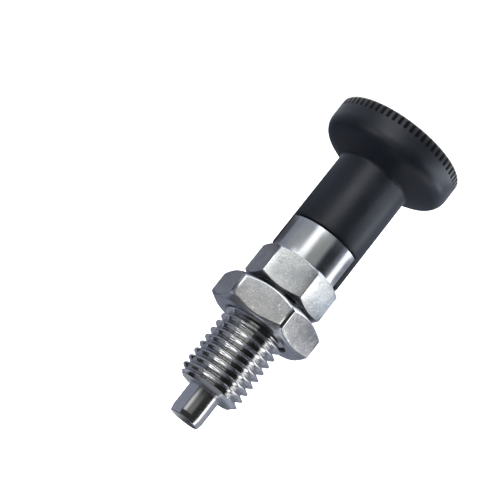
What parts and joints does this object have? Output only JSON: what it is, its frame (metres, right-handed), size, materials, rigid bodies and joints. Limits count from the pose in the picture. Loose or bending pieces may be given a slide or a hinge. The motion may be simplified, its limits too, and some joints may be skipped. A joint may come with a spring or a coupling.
{
  "type": "indexing plunger",
  "caption": "Indexing plunger with rest position: threaded steel housing with hexagon, slotted collar and jam nut, sprung locating pin, and a mushroom pull knob with legs.",
  "frame": {"origin": "middle of the knob's flat top, which is the lowest face and the one the part stands on", "axes": "+Z along the pin, from the knob's top to the pin's tip; the slots of the collar and the legs of the knob lie on +X and -X"},
  "size_m": [0.025, 0.025, 0.0622],
  "materials": {
    "black_plastic": "fine moulded grain, black",
    "pin_steel": "ground",
    "spring_steel": "drawn wire",
    "housing_steel": "turned and bright",
    "nut_steel": "satin"
  },
  "bodies": {
    "knob_and_pin": {"knob": "black_plastic", "plunger_pin": "pin_steel", "return_spring": "spring_steel"},
    "housing_body": {"housing": "housing_steel", "guide_bush": "housing_steel"},
    "nut_body": {"jam_nut": "nut_steel"}
  },
  "joints": [
    {"name": "knob_pull", "type": "slide", "parent": "knob_and_pin", "child": "housing_body", "axis": [0, 0, 1], "range_m": [0, 0.0067], "stiffness_N_per_m": 1500, "springref_m": -0.0053, "deforming": ["return_spring"]},
    {"name": "nut_travel", "type": "slide", "parent": "housing_body", "child": "nut_body", "axis": [0, 0, 1], "range_m": [-0.0007, 0.0135]}
  ]
}
